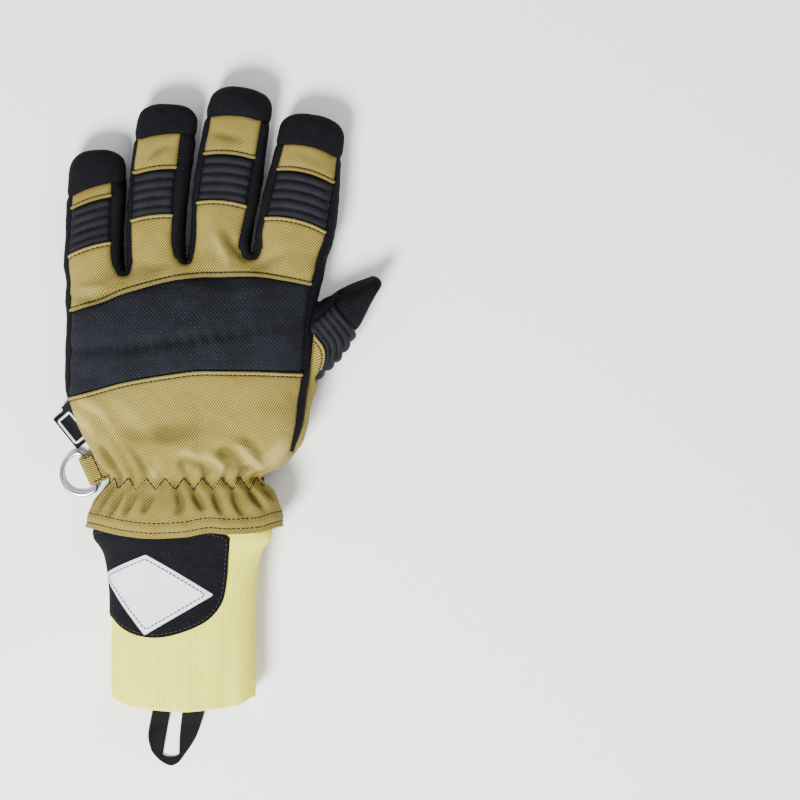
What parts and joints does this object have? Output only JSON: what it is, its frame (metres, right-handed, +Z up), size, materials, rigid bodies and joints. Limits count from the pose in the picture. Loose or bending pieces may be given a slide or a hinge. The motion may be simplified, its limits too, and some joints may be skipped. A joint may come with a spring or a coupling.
{
  "type": "firefighter glove",
  "caption": "Padded left-hand firefighting glove lying palm down: tan and black sewn panels, ribbed finger joints, elastic waist, knitted cuff, D-ring strap, side tag and hang loop.",
  "frame": {"origin": "middle of the bounding box, on the surface that the glove lies on", "axes": "+X to the thumb side, +Y to the fingertips, +Z up out of the back of the hand"},
  "size_m": [0.1664, 0.3418, 0.044],
  "materials": {
    "tan_twill": "matt woven twill",
    "black_cloth": "matt woven cloth",
    "band_cloth": "matt open weave",
    "pad_cloth": "smooth, slightly glossy",
    "knit_yellow": "rib knit",
    "label_white": "coated woven label",
    "tape_black": "flat woven tape",
    "ring_steel": "nickel-plated steel"
  },
  "bodies": {
    "glove": {"fingertip_little": "black_cloth", "joint_pad_little": "pad_cloth", "finger_panel_little": "tan_twill", "fingertip_ring": "black_cloth", "joint_pad_ring": "pad_cloth", "finger_panel_ring": "tan_twill", "fingertip_middle": "black_cloth", "joint_pad_middle": "pad_cloth", "finger_panel_middle": "tan_twill", "fingertip_index": "black_cloth", "joint_pad_index": "pad_cloth", "finger_panel_index": "tan_twill", "finger_front_little": "black_cloth", "finger_front_ring": "black_cloth", "finger_front_middle": "black_cloth", "finger_front_index": "black_cloth", "knuckle_band": "band_cloth", "back_panel_upper": "tan_twill", "hem_band_palm": "black_cloth", "hem_band": "tan_twill", "joint_pad_thumb": "pad_cloth", "fingertip_thumb": "black_cloth", "thumb_front": "black_cloth", "back_panel_lower": "tan_twill", "thumb_panel": "tan_twill", "palm_panel": "black_cloth", "side_strip_little": "black_cloth", "fourchette_little_ring": "black_cloth", "fourchette_ring_middle": "black_cloth", "fourchette_middle_index": "black_cloth", "side_strip_index": "black_cloth", "knit_cuff": "knit_yellow", "cuff_patch_back": "black_cloth", "cuff_patch_palm": "black_cloth", "label_kite": "label_white", "ring_strap": "tan_twill", "side_tag": "tape_black", "hang_loop": "tape_black"},
    "ring": {"d_ring": "ring_steel"}
  },
  "joints": [
    {"name": "ring_swing", "type": "hinge", "parent": "glove", "child": "ring", "pos_m": [-0.06468, -0.0215, 0.00275], "axis": [-0.4195, 0.9078, 0], "range_deg": [0, 110]}
  ]
}
